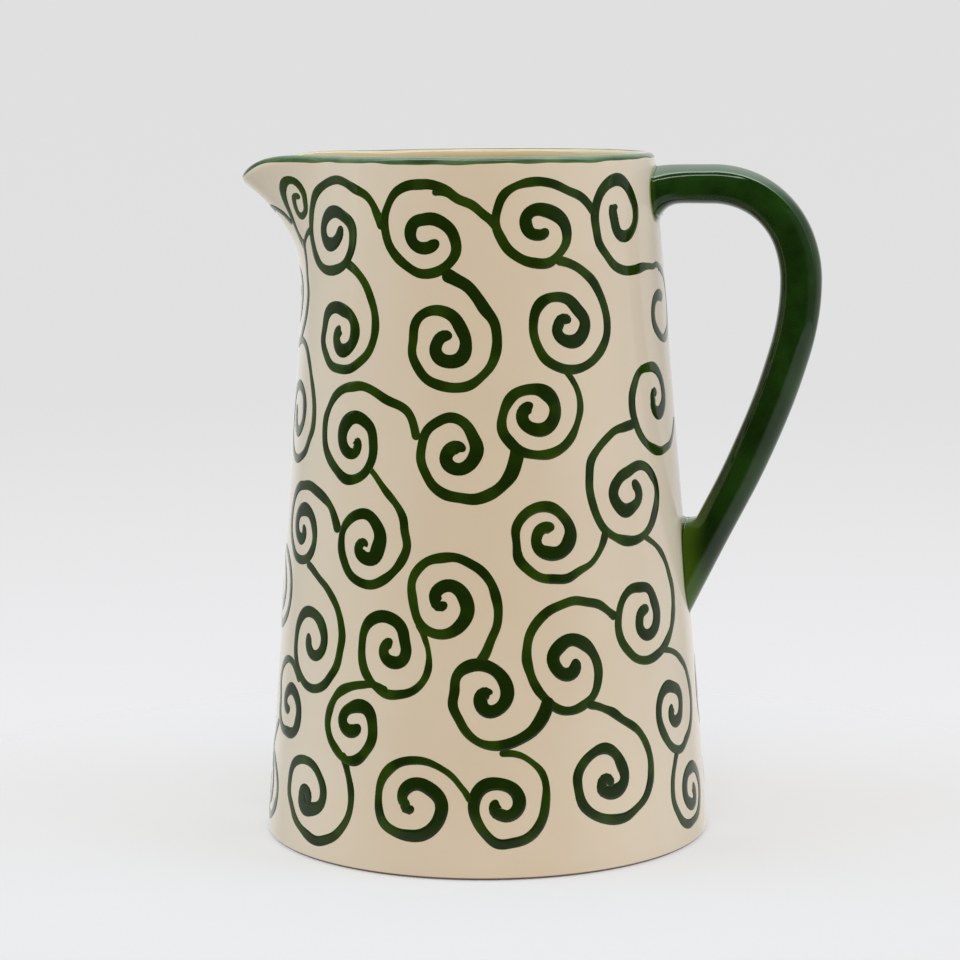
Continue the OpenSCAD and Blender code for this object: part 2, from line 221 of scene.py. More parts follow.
# Scrolls in the gaps of the side away from the camera
FAR_SCROLLS = (
    ("a", (147, 203), "ccw", "W", ((150, 187),), 2.2,
     (3.4, 4.3, 7.7, 8.5, 8.3, 8.2, 9.6, 10.2, 11.4)),
    ("b", (17, 186), "ccw", "N", ((14, 172), (20, 163.5)), 2.4,
     (1.5, 2, 2.6, 3.4, 4.3, 5.2, 5.8, 6.4, 7.2, 8, 8.6, 9.4)),
    ("d", (169, 104), "cw", "E", ((163, 125),), 2.4,
     (1.8, 2.4, 3, 3.8, 4.8, 5.8, 6.6, 7.6, 8.6, 9.2, 9.8, 10.4, 11.2)),
    ("f", (181, 46), "ccw", "N", ((188, 27),), 2.4,
     (1.4, 1.8, 2.4, 3.2, 4.2, 5.2, 6, 6.8, 7.8, 8.6, 9.2, 10)),
    ("f", (9, 44), "cw", "S", ((21.5, 48.5),), 2.6,
     (1.5, 2, 2.6, 3.6, 4.8, 6, 7, 8, 9, 9.6, 10.4, 11.2, 12)),
    ("g", (14, 18), "ccw", "N", ((33, 23),), 2.4,
     (1.3, 1.6, 2, 2.8, 3.8, 4.8, 5.4, 6, 6.8, 7.6, 8.2, 8.8, 9.2)),
)

# Short strokes between scrolls, as places (angle, height), with their width
LINKS = (
    ("a", ((-158.2, 192), (-154, 196), (-151, 197.3)), 2.0),
    ("a", ((-178, 203), (-174, 204.2), (-170, 202.5), (-166, 199)), 2.2),
    ("a", ((-97.7, 209.6), (-94.5, 209.6), (-90.5, 208.6)), 2.4),
    ("a", ((-38.2, 203.8), (-34.2, 204.2)), 2.0),
    ("f", ((-157, 38.6), (-161, 33.5), (-165.6, 28.1), (-168, 26.5)), 2.6),
)


# Shapes of the clay

def share_of_lip(angle):
    """Share of the lip's full flare at an angle: a raised cosine to a power, nothing beside the lip."""
    from_middle = np.mod(angle, 360.0) - 180.0
    across = np.clip(from_middle / LIP_HALF_ANGLE, -1.0, 1.0)
    return ((1.0 + np.cos(np.pi * across)) / 2.0) ** LIP_POINT


def rise_of_lip(angle):
    """Height from the lip's base to the centre of its edge; with no flare it is the plain rim's."""
    share = share_of_lip(angle)
    half_edge = (WALL - (WALL - LIP_EDGE) * share) / 2.0
    return JUG_HEIGHT - LIP_BASE - half_edge - LIP_DROOP * share ** DROOP_POWER


def unevenness(angle, height):
    """A few slow waves round and up the wall, about a tenth of a millimetre, as thrown clay has."""
    turn = np.radians(angle)
    return (0.07 * np.sin(3 * turn + height / 47.0 + 0.6)
            + 0.05 * np.sin(5 * turn - height / 31.0 + 2.1)
            + 0.02 * np.sin(9 * turn + height / 17.0 + 4.0))


def wall_point(angle, height, side, lift=0.0):
    """Point on the clay wall: its middle surface at this angle and height, plus half the thickness
    turned from the outer face (side 0) over the edge (90) to the inner face (180).
    The middle is a cone. Above the lip's base the flare moves it out by a power of the share climbed."""
    angle, height, side = np.broadcast_arrays(angle, height, side)
    share = share_of_lip(angle)
    rise = rise_of_lip(angle)
    climbed = np.clip((height - LIP_BASE) / rise, 0.0, 1.0)
    flare = LIP_REACH * share
    slope = flare * LIP_FLARE * climbed ** (LIP_FLARE - 1.0) / rise - TAPER
    radius = FOOT_RADIUS - TAPER * height - WALL_ACROSS / 2.0 + flare * climbed ** LIP_FLARE
    half = (WALL - (WALL - LIP_EDGE) * share * climbed) / 2.0 + lift
    half = half + unevenness(angle, height) * np.clip(np.cos(np.radians(side)), 0.0, 1.0)
    turned = np.radians(side) + np.arctan(-slope)
    radius = radius + half * np.cos(turned)
    z = height + half * np.sin(turned)
    return radius, z


def round_the_jug(angle, radius, z):
    """Points in space from an angle round the axis, a radius and a height."""
    turn = np.radians(angle)
    return np.stack(np.broadcast_arrays(radius * np.cos(turn), radius * np.sin(turn), z), axis=-1)


def outer_radius(z):
    """Radius of the wall's outer cone."""
    return FOOT_RADIUS - TAPER * z


# Meshes

def quads(rows, columns, close_rows=False, close_columns=False):
    """Corner indices of the cells of a grid, joined round where it closes."""
    i = np.arange(rows if close_rows else rows - 1)[:, None]
    j = np.arange(columns if close_columns else columns - 1)[None, :]
    next_i = (i + 1) % rows
    next_j = (j + 1) % columns
    corners = np.broadcast_arrays(i * columns + j, i * columns + next_j,
                                  next_i * columns + next_j, next_i * columns + j)
    return np.stack(corners, axis=-1).reshape(-1, 4)


def put_object(name, data):
    """A new object in the scene."""
    item = bpy.data.objects.new(name, data)
    bpy.context.scene.collection.objects.link(item)
    return item


def put_mesh(name, points, faces, material, values=None):
    """A smooth mesh piece at the origin, riding on the jug, with named values at its points."""
    mesh = bpy.data.meshes.new(name)
    mesh.from_pydata(np.asarray(points).reshape(-1, 3) * MM, [], faces)
    for label, numbers in (values or {}).items():
        mesh.attributes.new(label, "FLOAT", "POINT").data.foreach_set(
            "value", np.ascontiguousarray(numbers, dtype=np.float32).ravel())
    mesh.shade_smooth()
    mesh.materials.append(material)
    mesh.update()
    piece = put_object(name, mesh)
    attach(piece, "root")
    return piece


def smooth_through(knots, values, at):
    """Cubic curve through values at rising knots; a knot's slope is that of its neighbours."""
    knots = np.asarray(knots, dtype=float)
    values = np.asarray(values, dtype=float)
    slopes = np.gradient(values, knots, axis=0)
    i = np.clip(np.searchsorted(knots, at, side="right") - 1, 0, len(knots) - 2)
    gap = knots[i + 1] - knots[i]
    t = (at - knots[i]) / gap
    if values.ndim > 1:
        gap, t = gap[:, None], t[:, None]
    return ((1 + 2 * t) * (1 - t) ** 2 * values[i] + t * (1 - t) ** 2 * gap * slopes[i]
            + t ** 2 * (3 - 2 * t) * values[i + 1] + t ** 2 * (t - 1) * gap * slopes[i + 1])


# Pieces

def body_profile():
    """Rows of the clay's closed profile, from the middle of the inside floor, up the inner wall, over
    the rim, down the outer wall and round the foot to the middle of the underside.
    A row is (height on the wall's middle line or None, side, radius, z, bare clay, coloured darker as
    painted contact shadow)."""
    rows = []
    corner_z = FLOOR_TOP + CORNER_RADIUS
    corner_r = outer_radius(corner_z) - WALL_ACROSS - CORNER_RADIUS / math.cos(LEAN)
    for radius in np.linspace(corner_r / FLOOR_ROWS, corner_r, FLOOR_ROWS):
        rows.append((None, 0, radius, FLOOR_TOP, 0))
    lean = math.degrees(LEAN)
    for turn in np.radians(np.linspace(COIL_START, lean, COIL_ROWS)):
        radius = corner_r + CORNER_RADIUS * math.cos(turn)
        rows.append((None, 0, radius, corner_z + CORNER_RADIUS * math.sin(turn), 0))
    for height in np.linspace(corner_z + WALL_MARGIN, LIP_BASE, INNER_ROWS):
        rows.append((height, 180, 0, 0, 0))
    lip_steps = np.linspace(0.0, 1.0, LIP_ROWS)[1:]
    rows += [(("lip", step), 180, 0, 0, 0) for step in lip_steps]
    rows += [(("lip", 1.0), side, 0, 0, 0) for side in np.linspace(180.0, 0.0, EDGE_ROWS)[1:-1]]
    rows += [(("lip", step), 0, 0, 0, 0) for step in lip_steps[::-1]]
    for height in np.linspace(LIP_BASE, WALL_MARGIN, OUTER_ROWS):
        rows.append((height, 0, 0, 0, 0))
    foot_r = outer_radius(FOOT_EDGE) - FOOT_EDGE / math.cos(LEAN)
    for turn in np.radians(np.linspace(lean, -90.0, FOOT_ROWS)):
        bare = float(math.degrees(turn) < BARE_FROM)
        radius = foot_r + FOOT_EDGE * math.cos(turn)
        rows.append((None, 0, radius, FOOT_EDGE + FOOT_EDGE * math.sin(turn), bare))
    ring_r = outer_radius(0) - WALL_ACROSS
    rows += [(None, 0, ring_r + out, z, 1) for out, z in FOOT_RING]
    for radius in np.linspace(ring_r - UNDER_MARGIN, ring_r / (UNDER_ROWS + 1), UNDER_ROWS):
        rows.append((None, 0, radius, FLOOR_LIFT, 1))
    return rows


def clay_body(material):
    """The jug's glazed clay as one skin: the closed profile carried round the axis, with the lip's
    flare in its upper rows, and a point at each end closing it on the axis."""
    angle = np.arange(0.0, 360.0, BODY_STEP)
    points = []
    bare = []
    inside = []
    for height, side, radius, z, is_bare in body_profile():
        if isinstance(height, tuple):
            height = LIP_BASE + height[1] * rise_of_lip(angle)
        places = (radius, z) if height is None else wall_point(angle, height, side)
        points.append(round_the_jug(angle, *places))
        bare.append(float(is_bare))
        # Inner surfaces are marked to take the painted shade of the hollow
        inside.append(float(side > 90 or z > FLOOR_LIFT))
    grid = np.stack(points)
    count, columns = grid.shape[:2]
    ends = np.array([[0.0, 0.0, FLOOR_TOP], [0.0, 0.0, FLOOR_LIFT]])
    corners = np.concatenate([grid.reshape(-1, 3), ends])
    j = np.arange(columns)
    next_j = (j + 1) % columns
    top = count * columns
    first = np.stack([np.full(columns, top), j, next_j], axis=-1)
    last_row = (count - 1) * columns
    last = np.stack([np.full(columns, top + 1), last_row + next_j, last_row + j], axis=-1)
    faces = quads(count, columns, close_columns=True)[:, ::-1].tolist() + first.tolist() + last.tolist()
    values = {"bare": np.append(np.repeat(bare, columns), [0.0, 1.0]),
              "inside": np.append(np.repeat(inside, columns), [1.0, 0.0])}
    body = put_mesh("glazed_body", corners, faces, material, values)
    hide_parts("wall", "floor_disc", "corner_coil", "pouring_lip")


def rim_band(material):
    """The painted rim: a thin skin over the rim's half round, from a brushed edge outside to one inside.
    Each edge is a distance from the top of the round, with small waves; the outer one is less along
    the lip."""
    angle = np.arange(0.0, 360.0, RIM_STEP)
    turn = np.radians(angle)
    share = share_of_lip(angle)
    brush = 0.16 * np.sin(7 * turn + 1.0) + 0.12 * np.sin(17 * turn + 2.6) + 0.08 * np.sin(31 * turn)
    narrower = RIM_AT_LIP * np.minimum(1.0, RIM_LIP_SPREAD * share)
    outside = RIM_OUTSIDE + RIM_TILT * np.cos(turn + RIM_TILT_TURN) - narrower + brush
    inside = RIM_INSIDE + RIM_INSIDE_AT_LIP * share - RIM_INSIDE_WAVES * brush
    across = np.array(RIM_ACROSS)
    lift = np.where(np.abs(across) == 1.0, -RIM_LIFT, RIM_LIFT)
    run = np.where(across[:, None] < 0, -across[:, None] * outside, -across[:, None] * inside)
    half = (WALL - (WALL - LIP_EDGE) * share) / 2.0
    quarter = half * np.pi / 2.0
    side = 90.0 - np.degrees(np.clip(run, -quarter, quarter) / half)
    down = np.maximum(np.abs(run) - quarter, 0.0)
    height = LIP_BASE + rise_of_lip(angle) - down
    top = round_the_jug(angle, *wall_point(angle, height, side, lift[:, None]))
    deep = round_the_jug(angle, *wall_point(angle, height[1:-1], side[1:-1], -RIM_SINK))
    loop = np.concatenate([top, deep[::-1]])
    paint = np.abs(np.concatenate([across, across[1:-1][::-1]]))[:, None] * np.ones_like(angle)
    faces = quads(*loop.shape[:2], close_rows=True, close_columns=True).tolist()
    put_mesh("rim_band", loop, faces, material, {"edge": paint})


def plane_of_scroll(eye, places):
    """Places (angle, height) as millimetres to the right of and above a scroll's eye."""
    places = np.asarray(places, dtype=float).reshape(-1, 2)
    right = np.radians(places[:, 0] - eye[0]) * outer_radius(eye[1])
    return np.stack([right, places[:, 1] - eye[1]], axis=-1)


def scroll_line(eye, hand, start, radii, places):
    """A scroll's line round its eye: the radius is a smooth curve of the angle turned, through the radii
    at the eighths of a turn and then through the places of the tail. Before them the inner end hooks back,
    further the smaller the first radius is. Given too is the share of the brush's full pressure, greatest
    in the first turn."""
    sense = 1.0 if hand == "ccw" else -1.0
    hook = min(FULL_HOOK, math.degrees(INNER_HOOK / radii[0] + TIGHT_HOOK / radii[0] ** 2))
    turned = [-hook] + [45.0 * i for i in range(len(radii))]
    radius = [HOOK_RADIUS * radii[0]] + list(radii)
    for right, up in plane_of_scroll(eye, places):
        direction = sense * (math.degrees(math.atan2(up, right)) - COMPASS[start])
        turned.append(turned[-1] + (direction - turned[-1]) % 360.0)
        radius.append(math.hypot(right, up))
    at = np.linspace(-hook, turned[-1], int(turned[-1] / TURN_STEP))
    pressure = np.exp(-((at - PRESSED_TURN) / PRESSED_SPREAD) ** 2)
    reach = smooth_through(turned, radius, at) - PRESSED_INWARD * pressure
    way = np.radians(COMPASS[start] + sense * at)
    line = np.stack([reach * np.cos(way), reach * np.sin(way)], axis=-1)
    ahead = line[-1] - line[-3]
    line = np.concatenate([line, [line[-1] + TAIL_OVERRUN * ahead / np.linalg.norm(ahead)]])
    return line, np.append(pressure, pressure[-1])


def lengths_along(line):
    """Length of a line up to each of its points."""
    return np.concatenate([[0.0], np.cumsum(np.linalg.norm(np.diff(line, axis=0), axis=1))])


def even_steps(line):
    """The same line in even steps, with short ones at both ends for the round of the brush."""
    length = lengths_along(line)
    tip = np.array(TIP_STEPS)
    middle = np.linspace(TIP_LENGTH, length[-1] - TIP_LENGTH, max(4, int(length[-1] / STROKE_STEP)))
    at = np.concatenate([tip, middle, length[-1] - tip[::-1]])
    return at, smooth_through(length, line, at), length


def brush_stroke(eye, line, pressure, widths, lift, rng):
    """A stroke of paint along a line on the wall, as a thin closed strip: flat on top, rounded at its
    ends and sunk at its edges. Seeded noise wobbles its path, width and load, and on the inside of a bend
    it is no wider than the bend's radius allows. Returns its points, its faces along the sides and at the
    ends, and at each point the load of paint and the nearness to an edge."""
    at, path, line_length = even_steps(line)
    length = at[-1]
    knots = np.arange(0.0, length + 2.0 * SHAKE_STEP, SHAKE_STEP)
    shake = smooth_through(knots, rng.normal(0.0, 1.0, (len(knots), 3)), at)
    ahead = np.gradient(path, at, axis=0)
    ahead /= np.linalg.norm(ahead, axis=1, keepdims=True)
    left = np.stack([-ahead[:, 1], ahead[:, 0]], axis=-1)
    from_end = np.minimum(at, length - at)
    ease = np.clip(from_end / SHAKE_EASE, 0.0, 1.0)[:, None]
    path = path + SHAKE_ASIDE * ease * shake[:, :1] * left
    inner = min(INNER_LENGTH, 0.5 * length)
    tail = (max(inner, length - TAIL_START), max(inner, length - TAIL_FULL), length)
    width = np.interp(at, (0.0, INNER_EVEN * inner, inner) + tail,
                      [widths[0], widths[0], widths[1], widths[1], widths[2], widths[2] * TAIL_SWELL])
    width = width + PRESSED_WIDTH * np.interp(at, line_length, pressure)
    width = width * (1.0 + SHAKE_WIDTH * shake[:, 1])
    cap = np.clip(1.0 - from_end / (width / 2.0), 0.0, 1.0)
    half = width / 2.0 * np.sqrt(np.maximum(1.0 - cap ** 2, 0.0)) + LEAST_HALF
    bend = np.cross(ahead, np.gradient(ahead, at, axis=0))
    room = BEND_ROOM / np.maximum(np.abs(bend), LEAST_BEND)
    left_half = np.where(bend > 0, np.minimum(half, room), half)
    right_half = np.where(bend < 0, np.minimum(half, room), half)
    across = np.array(STROKE_ACROSS)
    reach = np.where(across > 0, across * left_half[:, None], across * right_half[:, None])
    spread = path[:, None, :] + reach[..., None] * left[:, None, :]
    angle = eye[0] + np.degrees(spread[..., 0] / outer_radius(eye[1]))
    height = eye[1] + spread[..., 1] - FACE_RISE
    high = np.array(STROKE_ABOVE) * (PAINT_LIFT + lift)
    points = round_the_jug(angle, *wall_point(angle, height, 0.0, high))
    rows, columns = points.shape[:2]
    sides = quads(rows, columns, close_columns=True)
    ends = [list(range(columns))[::-1], list(range((rows - 1) * columns, rows * columns))]
    load = EVEN_LOAD + SHAKE_LOAD * shake[:, 2] + WIDTH_LOAD * (width - STROKE_WIDTH)
    load = np.clip(load, 0.0, 1.0)
    paint = load[:, None] * np.ones(columns)
    edge = np.abs(across) * np.ones((rows, 1))
    return points.reshape(-1, 3), sides, ends, paint.ravel(), edge.ravel()


def far_side(scrolls):
    """The scrolls again on the side away from the camera, turned half round the jug."""
    turned = []
    for row, eye, hand, start, places, tail, radii in scrolls:
        if eye not in NOT_REPEATED:
            moved = tuple((angle + 180, height) for angle, height in places)
            turned.append((row, (eye[0] + 180, eye[1]), hand, start, moved, tail, radii))
    return tuple(turned)


def painted_scrolls(material):
    """All scrolls, as one piece for each row from the rim down. Small ones are drawn with a light hand.
    Strokes lie at slightly different heights in turn, so that two that cross seldom share one."""
    rng = np.random.default_rng(7)
    lines = []
    for row, eye, hand, start, places, tail, radii in SCROLLS + far_side(SCROLLS) + FAR_SCROLLS:
        line, pressure = scroll_line(eye, hand, start, radii, places)
        inner_end = INNER_END_WIDTH
        if max(radii) < SMALL_SCROLL:
            inner_end = SMALL_END_WIDTH
            pressure = 0.0 * pressure
        lines.append((row, eye, line, pressure, (inner_end, STROKE_WIDTH, tail)))
    for row, places, width in LINKS:
        through = plane_of_scroll(places[0], places)
        steps = lengths_along(through)
        line = smooth_through(steps, through, np.linspace(0.0, steps[-1], LINK_POINTS))
        lines.append((row, places[0], line, np.zeros(LINK_POINTS), (width, width, width)))
    pieces = {}
    for index, (row, eye, line, pressure, widths) in enumerate(lines):
        stroke = brush_stroke(eye, line, pressure, widths, LAYER_LIFT * (index % LAYERS), rng)
        pieces.setdefault(row, []).append(stroke)
    for row, strokes in pieces.items():
        starts = np.cumsum([0] + [len(stroke[0]) for stroke in strokes[:-1]])
        points = np.concatenate([stroke[0] for stroke in strokes])
        faces = np.concatenate([stroke[1] + start for stroke, start in zip(strokes, starts)]).tolist()
        for stroke, start in zip(strokes, starts):
            faces += [[int(start) + corner for corner in end] for end in stroke[2]]
        values = {"paint": np.concatenate([stroke[3] for stroke in strokes]),
                  "edge": np.concatenate([stroke[4] for stroke in strokes])}
        put_mesh("scrolls_row_" + row, points, faces, material, values)


# Handle

def handle_way():
    """The handle's centreline: lengths along it, and x, z and heading there. The heading turns evenly
    through each arc, and adding up its small steps gives the place."""
    bounds = [-WAY_BEFORE, 0.0]
    headings = [0.0, 0.0]
    for radius, amount in HANDLE_PIECES:
        bounds.append(bounds[-1] + (amount if radius is None else radius * math.radians(amount)))
        headings.append(headings[-1] + (0.0 if radius is None else amount))
    bounds.append(bounds[-1] + WAY_PAST)
    headings.append(headings[-1])
    along = np.linspace(bounds[0], bounds[-1], WAY_POINTS)
    heading = np.radians(np.interp(along, bounds, headings))
    step = along[1] - along[0]
    x = np.concatenate([[0.0], np.cumsum((np.cos(heading[1:]) + np.cos(heading[:-1])) / 2)]) * step
    z = np.concatenate([[0.0], np.cumsum((np.sin(heading[1:]) + np.sin(heading[:-1])) / 2)]) * -step
    start_x = np.interp(0.0, along, x)
    return along, x - start_x + outer_radius(HANDLE_HEIGHT), z + HANDLE_HEIGHT, heading


WAY, WAY_X, WAY_Z, WAY_HEADING = handle_way()
COMING_BACK = WAY > PAST_SHOULDER
HANDLE_LENGTH = float(np.interp(0.0, (outer_radius(WAY_Z) - WAY_X)[COMING_BACK], WAY[COMING_BACK]))


def squared(value, power):
    """Sine or cosine bent into a rounder or squarer section."""
    return np.sign(value) * np.abs(value) ** (2.0 / power)


def handle_point(around, along):
    """Point on the handle: an oval section, squarer to the fingers, carried along the centreline and
    grown near the wall by a power of the share of a root's spread that is left, most at the middle of the
    palm's and the fingers' sides; the upper root's flanks grow more towards the fingers. Slip fills the
    lower corner: 1 less a bell curve of the way into it. Faint waves ripple the whole."""
    around, along = np.broadcast_arrays(around, along)
    x = np.interp(along, WAY, WAY_X)
    z = np.interp(along, WAY, WAY_Z)
    heading = np.interp(along, WAY, WAY_HEADING)
    to_go = np.maximum(0.0, HANDLE_LENGTH - along)
    upper = np.maximum(0.0, 1.0 - np.maximum(0.0, along) / UPPER_SPREAD)
    lower = np.maximum(0.0, 1.0 - to_go / LOWER_SPREAD)
    palm = UPPER_DIP * upper ** 5
    into_corner = np.maximum(0.0, CORNER_START - to_go) / CORNER_RUN
    fingers = UPPER_FLARE * upper ** 5 + CORNER_FILL * (1.0 - np.exp(-into_corner ** 2))
    turn = np.radians(around)
    flank = UPPER_FLANK * upper ** 2 * (1.0 - np.cos(turn)) / 2.0 + LOWER_FLANK * lower ** 2
    share = along / HANDLE_LENGTH
    wide = (HANDLE_WIDTHS[0] * (1.0 - share) + HANDLE_WIDTHS[1] * share) / 2.0 + flank
    on_palm = np.cos(turn) > 0
    power = np.where(on_palm, PALM_POWER, FINGER_POWER)
    stout = np.interp(share, *zip(*HANDLE_STOUTNESS))
    thick = HANDLE_THICKNESS / 2.0 * stout + np.where(on_palm, palm, fingers) * np.abs(np.cos(turn))
    ripple = 1.0 + 0.006 * np.sin(along / 9.0 + 2.0 * turn) + 0.005 * np.sin(along / 5.3 - turn + 1.3)
    out = squared(np.cos(turn), power) * thick * ripple - np.interp(share, *zip(*HANDLE_INWARD))
    aside = squared(np.sin(turn), power) * wide * ripple
    return np.stack([x + out * np.sin(heading), aside, z + out * np.cos(heading)], axis=-1)


def length_at_wall(around, sink, lower):
    """Length along the handle at which each side line passes into the wall to a depth, by halving."""
    near = np.full(around.shape, HANDLE_LENGTH - ROOT_REACH if lower else ROOT_REACH)
    deep = np.full(around.shape, HANDLE_LENGTH + LOWER_DEEP if lower else -UPPER_DEEP)
    for _ in range(HALVINGS):
        middle = (near + deep) / 2.0
        point = handle_point(around, middle)
        depth = outer_radius(point[..., 2]) - np.hypot(point[..., 0], point[..., 1])
        inside = depth > sink
        deep = np.where(inside, middle, deep)
        near = np.where(inside, near, middle)
    return (near + deep) / 2.0


def handle_piece(material):
    """The handle as side lines between the two places where each goes into the wall. The lines start and
    end unevenly there, and powers of the share along them even this out within a short way."""
    around = np.arange(0.0, 360.0, HANDLE_STEP)
    first = length_at_wall(around, ROOT_SINK, False)
    last = length_at_wall(around, ROOT_SINK, True)
    share = np.linspace(0.0, 1.0, HANDLE_ROWS)[:, None]
    along = (first.mean() + (last.mean() - first.mean()) * share
             + (first - first.mean()) * (1.0 - share) ** 6 + (last - last.mean()) * share ** 5)
    points = handle_point(around, along)
    rows, columns = points.shape[:2]
    faces = quads(rows, columns, close_columns=True)[:, ::-1].tolist()
    faces.append(list(range(columns)))
    faces.append(list(range((rows - 1) * columns, rows * columns))[::-1])
    thin = np.minimum(along - first, LOWER_THIN * (last - along))
    piece = put_mesh("handle_glazed", points, faces, material, {"from_root": thin * MM})
    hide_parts("handle")


def root_fillet(name, node, lower, material):
    """Glaze gathered round a root of the handle: a hollow fillet from the wall to the handle. Its
    section is a curve from a point on the wall, pulled to the corner, to a point on the handle."""
    around = np.arange(0.0, 360.0, FILLET_STEP)
    at_wall = length_at_wall(around, 0.0, lower)
    corner = handle_point(around, at_wall)
    on_handle = handle_point(around, at_wall + (-ROOT_FILLET if lower else ROOT_FILLET))
    angle = np.degrees(np.arctan2(corner[:, 1], corner[:, 0]))
    flat = np.stack([np.radians(angle) * outer_radius(corner[:, 2]), corner[:, 2]], axis=-1)
    ahead = np.roll(flat, -1, axis=0) - np.roll(flat, 1, axis=0)
    away = np.stack([ahead[:, 1], -ahead[:, 0]], axis=-1) / np.linalg.norm(ahead, axis=1, keepdims=True)
    centre = flat.mean(axis=0)
    away *= np.sign(np.sum(away * (flat - centre), axis=1))[:, None]
    moved = flat + away * ROOT_FILLET
    moved_angle = np.degrees(moved[:, 0] / outer_radius(corner[:, 2]))
    low_height = moved[:, 1] - FACE_RISE
    on_wall = round_the_jug(moved_angle, *wall_point(moved_angle, low_height, 0.0, -FILLET_SINK))
    share = np.linspace(0.0, 1.0, FILLET_ROWS)[:, None, None]
    curve = (1 - share) ** 2 * on_wall + 2 * share * (1 - share) * corner + share ** 2 * on_handle
    inward = handle_point(around, at_wall + (FILLET_BURY if lower else -FILLET_BURY))
    loop = np.concatenate([curve, inward[None]])
    depth = np.append(np.linspace(0.0, 1.0, FILLET_ROWS), 0.5)[:, None] * np.ones(len(around))
    faces = quads(*loop.shape[:2], close_rows=True, close_columns=True)
    if not lower:
        faces = faces[:, ::-1]
    piece = put_mesh(name, loop, faces.tolist(), material, {"glaze_depth": depth})
    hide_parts(node)


# Materials: tones as they look on screen, 0 to 255

CREAM_OUTSIDE = ((221, 196, 166), (224, 200, 171))
# Inside tones: painted shade of the hollow, darker and yellower than the outside
CREAM_INSIDE_SHADED = ((213, 189, 145), (216, 193, 153))
IRON_SPECK = (120, 92, 60)
# Bare clay: its own brown, darkened further as a painted contact shadow at the foot
BARE_CLAY_AND_SHADOW = ((78, 52, 30), (112, 82, 54))
PAINT_THIN_AND_THICK = ((44, 64, 6), (22, 38, 1))
PAINT_CLOUD = (26, 45, 4)
PAINT_EDGE = (70, 98, 40)
RIM_TONES = ((40, 66, 34), (92, 114, 76))
RIM_EDGE = (80, 104, 40)
HANDLE_TONES = ((17, 38, 4), (30, 58, 12))
THIN_GREEN = (74, 98, 18)
ROOT_ON_WALL = ((203, 190, 154), (160, 156, 92))
ROOT_ON_HANDLE = (26, 52, 10)
FLOOR_TONE = (250, 245, 241)

# Ranges over which a tone changes, with its share at both ends where this is not 0 and 1
CLOUDS, PAINT_CLOUDS = (0.3, 0.7), (0.35, 0.65, 0.0, 0.45)
SPECK_CHANCE, SPECK_SIZE = (0.975, 0.98), (0.02, 0.035, 1.0, 0.0)
PAINT_LOAD = (0.1, 0.9)
STROKE_FADE, RIM_FADE = (0.92, 1.0, 0.0, 0.5), (0.75, 1.0, 0.0, 0.7)
THIN_AT_ROOT = (0.0005, 0.004, 0.7, 0.0)
FILLET_THIN, FILLET_DEEP = (0.02, 0.3), (0.3, 0.75)


def linear(tone):
    """A colour written as it looks on screen, 0 to 255, as linear light."""
    parts = np.array(tone) / 255.0
    return tuple(np.where(parts <= 0.04045, parts / 12.92, ((parts + 0.055) / 1.055) ** 2.4)) + (1.0,)


def new_material(name):
    """An empty node material with its shader and output."""
    material = bpy.data.materials.new(name)
    material.use_nodes = True
    return material, material.node_tree, material.node_tree.nodes["Principled BSDF"]


def add(tree, kind, inputs=None, **settings):
    """A node with its settings and inputs; an input is a value, or a socket to link from."""
    node = tree.nodes.new(kind)
    for key, value in settings.items():
        setattr(node, key, value)
    for key, value in (inputs or {}).items():
        if isinstance(value, bpy.types.NodeSocket):
            tree.links.new(value, node.inputs[key])
        else:
            node.inputs[key].default_value = value
    return node


def mix(tree, share, first, second):
    """Colour that goes from the first to the second with a share."""
    return add(tree, "ShaderNodeMix", {0: share, 6: first, 7: second}, data_type="RGBA").outputs[2]


def between(tree, share, tones):
    """Colour between two screen tones."""
    return mix(tree, share, linear(tones[0]), linear(tones[1]))


def calculate(tree, operation, *values):
    """Result of a math node on values or sockets."""
    return add(tree, "ShaderNodeMath", dict(enumerate(values)), operation=operation).outputs["Value"]


def attribute(tree, name):
    """Named value at a piece's points."""
    return add(tree, "ShaderNodeAttribute", attribute_name=name).outputs["Fac"]


def value_map(tree, value, low, high, to_low=0.0, to_high=1.0):
    """A value's range as another, smooth at both ends."""
    inputs = {"Value": value, "From Min": low, "From Max": high, "To Min": to_low, "To Max": to_high}
    return add(tree, "ShaderNodeMapRange", inputs, interpolation_type="SMOOTHSTEP").outputs["Result"]


def glaze_group():
    """Shared skin of a fired glaze: cloudy tone, slight differences in gloss, and a faint ripple."""
    group = bpy.data.node_groups.new("glaze_skin", "ShaderNodeTree")
    sockets = {"INPUT": ("Cloud Size", "Gloss", "Gloss Change"), "OUTPUT": ("Cloud", "Roughness", "Ripple")}
    for direction, names in sockets.items():
        for name in names:
            group.interface.new_socket(name, in_out=direction, socket_type="NodeSocketFloat")
    given = group.nodes.new("NodeGroupInput")
    result = group.nodes.new("NodeGroupOutput")
    place = add(group, "ShaderNodeTexCoord").outputs["Object"]
    cloud = add(group, "ShaderNodeTexNoise", {"Vector": place, "Scale": given.outputs["Cloud Size"],
                                              "Detail": 3.0, "Roughness": 0.55})
    patch = add(group, "ShaderNodeTexNoise", {"Vector": place, "Scale": 90.0, "Detail": 2.0})
    rough = calculate(group, "MULTIPLY_ADD", patch.outputs["Fac"], given.outputs["Gloss Change"],
                      given.outputs["Gloss"])
    ripple = add(group, "ShaderNodeTexNoise", {"Vector": place, "Scale": 140.0, "Detail": 1.0})
    group.links.new(cloud.outputs["Fac"], result.inputs["Cloud"])
    group.links.new(rough, result.inputs["Roughness"])
    group.links.new(ripple.outputs["Fac"], result.inputs["Ripple"])
    return group


